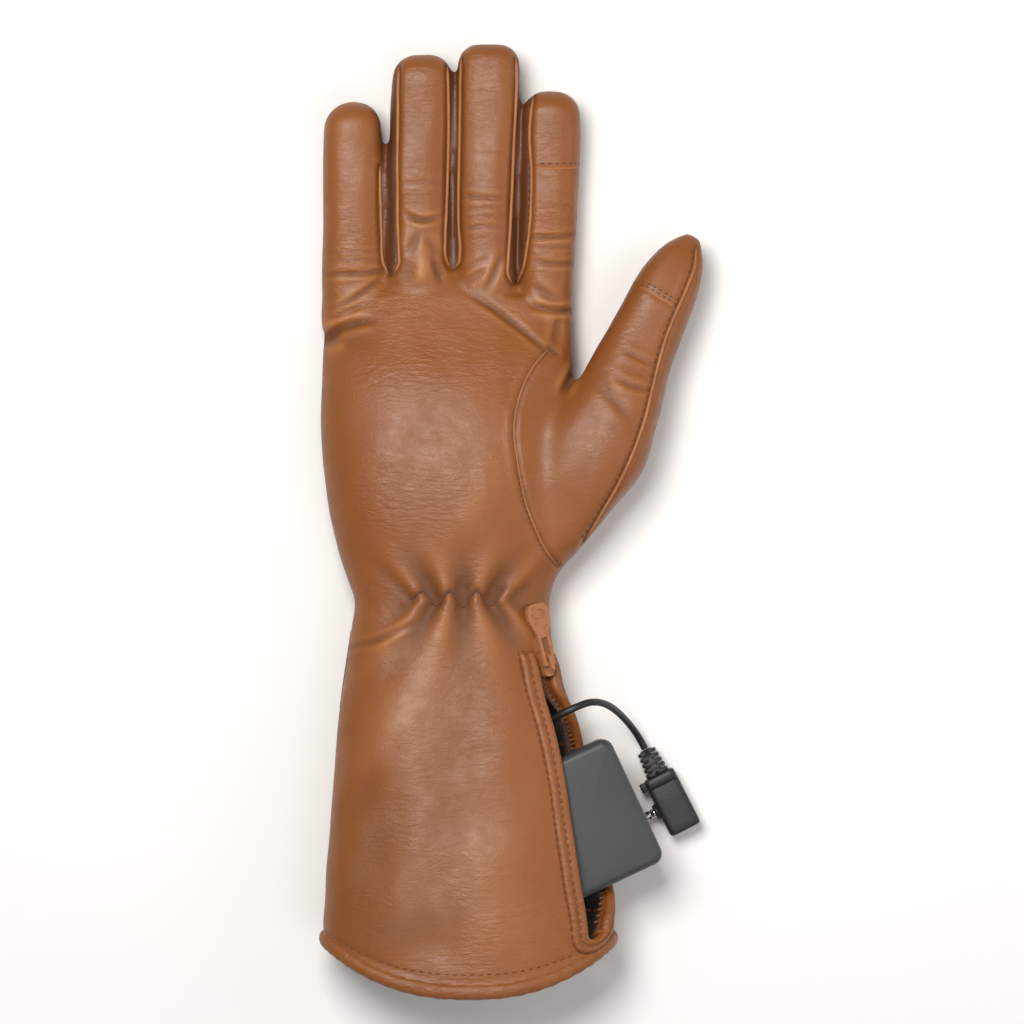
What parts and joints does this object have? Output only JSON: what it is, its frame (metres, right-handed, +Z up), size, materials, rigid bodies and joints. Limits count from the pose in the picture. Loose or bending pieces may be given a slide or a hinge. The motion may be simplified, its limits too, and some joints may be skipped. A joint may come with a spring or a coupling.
{
  "type": "heated gauntlet glove with battery and plug lead",
  "caption": "Right-hand leather gauntlet glove lying palm up, with a zipped battery pocket, wrist strap, round switch and a short plug lead.",
  "frame": {"origin": "on the resting surface, at the flat back of the hand, 45 mm from the wrist seam toward the fingers", "axes": "+Y along the glove toward the fingertips, +X toward the thumb, +Z up out of the palm"},
  "size_m": [0.1378, 0.3425, 0.0507],
  "materials": {
    "leather": "satin",
    "side_leather": "satin",
    "zip_tape": "matte",
    "painted_metal": "satin",
    "snap_metal": "satin",
    "switch_rubber": "satin",
    "battery_plastic": "matte",
    "pocket_cloth": "matte",
    "lead_rubber": "satin",
    "pin_metal": "polished"
  },
  "bodies": {
    "glove": {"hand": "leather", "thumb": "leather", "index_touch_tip": "leather", "thumb_touch_tip": "leather", "fourchette_little_ring": "side_leather", "fourchette_ring_middle": "side_leather", "fourchette_middle_index": "side_leather", "cuff": "leather", "hem_binding": "leather", "wrist_strap": "leather", "button_rim": "leather", "zip_welt_upper": "leather", "zip_welt_lower": "leather", "zip_tape_upper": "zip_tape", "zip_tape_lower": "zip_tape", "zip_slider": "painted_metal", "snap_cap": "snap_metal", "power_button": "switch_rubber", "battery_case": "battery_plastic", "battery_pocket": "pocket_cloth", "lead": "lead_rubber", "plug_relief": "lead_rubber", "plug_body": "lead_rubber", "plug_pin": "pin_metal"},
    "pull": {"zip_pull": "painted_metal"}
  },
  "joints": [
    {"name": "pull_flip", "type": "hinge", "parent": "glove", "child": "pull", "pos_m": [0.03617, -0.06758, 0.03297], "axis": [0.7441, 0.1886, -0.6409], "range_deg": [0, 140]}
  ]
}
